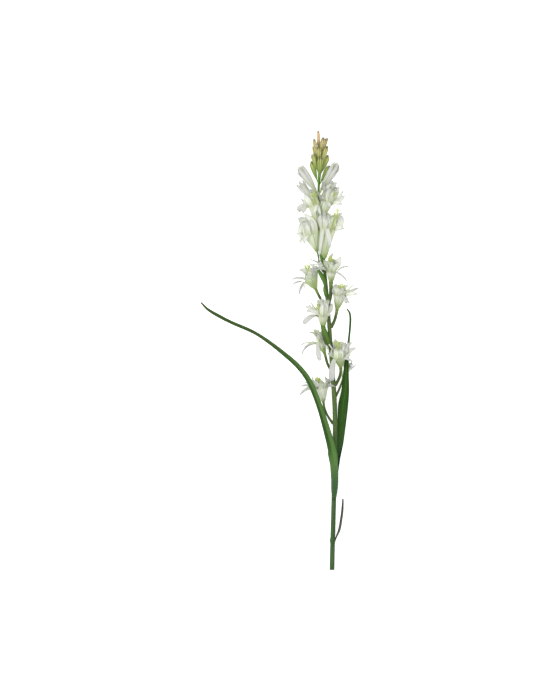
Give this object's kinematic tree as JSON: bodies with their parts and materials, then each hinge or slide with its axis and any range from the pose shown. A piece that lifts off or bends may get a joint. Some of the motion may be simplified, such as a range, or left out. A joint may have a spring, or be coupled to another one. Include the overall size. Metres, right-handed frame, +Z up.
{
  "type": "tuberose flower",
  "caption": "Cut tuberose stem lying on its side, with long narrow green leaves, open white florets, opening white buds and a tapering head of small green buds.",
  "frame": {"origin": "middle of the whole flower seen from above, on the surface it lies on", "axes": "+Y along the stem from its cut end to the top bud, +X to the right of the stem seen from above, +Z up from the surface"},
  "size_m": [0.2673, 0.7465, 0.0559],
  "materials": {
    "stem_green": "satin",
    "stalk_green": "satin",
    "leaf_green": "satin",
    "bract_green": "satin",
    "petal_white": "satin",
    "stamen_yellow": "matte",
    "bud_white": "satin",
    "bud_green": "satin",
    "bud_tan": "satin"
  },
  "bodies": {
    "root": {"bract_01": "bract_green", "bract_02": "bract_green", "bract_03": "bract_green", "bract_04": "bract_green", "floret_01_perianth": "petal_white", "floret_01_stalk": "stalk_green", "floret_01_stamens": "stamen_yellow", "floret_02_perianth": "petal_white", "floret_02_stalk": "stalk_green", "floret_02_stamens": "stamen_yellow", "floret_03_perianth": "petal_white", "floret_03_stalk": "stalk_green", "floret_03_stamens": "stamen_yellow", "floret_04_perianth": "petal_white", "floret_04_stalk": "stalk_green", "floret_04_stamens": "stamen_yellow", "floret_05_perianth": "petal_white", "floret_05_stalk": "stalk_green", "floret_05_stamens": "stamen_yellow", "floret_06_perianth": "petal_white", "floret_06_stalk": "stalk_green", "floret_06_stamens": "stamen_yellow", "floret_07_perianth": "petal_white", "floret_07_stalk": "stalk_green", "floret_07_stamens": "stamen_yellow", "floret_08_perianth": "petal_white", "floret_08_stalk": "stalk_green", "floret_08_stamens": "stamen_yellow", "floret_09_perianth": "petal_white", "floret_09_stalk": "stalk_green", "floret_09_stamens": "stamen_yellow", "floret_10_perianth": "petal_white", "floret_10_stamens": "stamen_yellow", "floret_11_perianth": "petal_white", "floret_11_stamens": "stamen_yellow", "floret_12_perianth": "petal_white", "floret_12_stamens": "stamen_yellow", "green_bud_01": "bud_green", "green_bud_02": "bud_green", "green_bud_03": "bud_green", "green_bud_04": "bud_green", "green_bud_05": "bud_green", "green_bud_06": "bud_green", "green_bud_07": "bud_green", "green_bud_08": "bud_green", "green_bud_09": "bud_green", "green_bud_10": "bud_green", "green_bud_11": "bud_green", "green_bud_12": "bud_green", "leaf_left": "leaf_green", "leaf_low": "leaf_green", "leaf_right": "leaf_green", "main_stem": "stem_green", "top_bud": "bud_tan", "white_bud_01": "bud_white", "white_bud_02": "bud_white", "white_bud_03": "bud_white", "white_bud_04": "bud_white"}
  },
  "joints": []
}
